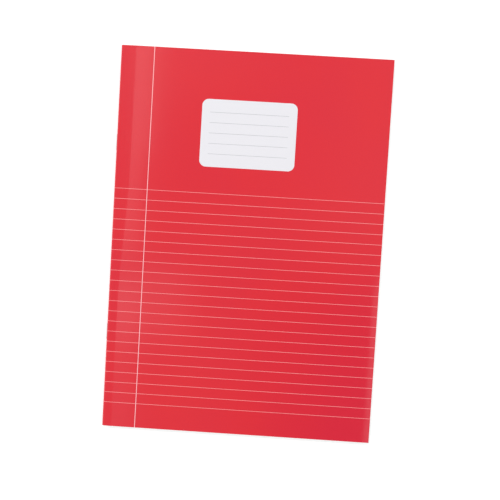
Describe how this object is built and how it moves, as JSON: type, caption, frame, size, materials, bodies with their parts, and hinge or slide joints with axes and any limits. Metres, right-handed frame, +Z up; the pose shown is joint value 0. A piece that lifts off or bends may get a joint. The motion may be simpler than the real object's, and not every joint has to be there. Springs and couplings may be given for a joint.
{
  "type": "composition notebook",
  "caption": "Stapled A4 notebook: ruled card cover with a blank name label, folded round a block of leaves and held by wire staples; both covers open at the fold.",
  "frame": {"origin": "middle of the underside, on the surface that the closed notebook lies on", "axes": "+Y along the spine towards the head, +Z up out of the front cover, +X from the spine towards the fore-edge"},
  "size_m": [0.2102, 0.297, 0.005],
  "materials": {
    "paper": "matte",
    "staple_wire": "satin",
    "cover_card": "gloss",
    "ruling_print": "gloss",
    "label_print": "gloss",
    "label_line_print": "gloss"
  },
  "bodies": {
    "page_block": {"page_block": "paper", "staples": "staple_wire"},
    "front_cover": {"front_cover": "cover_card", "front_ruling": "ruling_print", "name_label": "label_print", "label_lines": "label_line_print"},
    "back_cover": {"back_cover": "cover_card"}
  },
  "joints": [
    {"name": "front_cover_hinge", "type": "hinge", "parent": "page_block", "child": "front_cover", "pos_m": [-0.10485, 0, 0.00243], "axis": [0, -1, 0], "range_deg": [0, 180]},
    {"name": "back_cover_hinge", "type": "hinge", "parent": "page_block", "child": "back_cover", "pos_m": [-0.10485, 0, 0.00243], "axis": [0, 1, 0], "range_deg": [0, 180]}
  ]
}
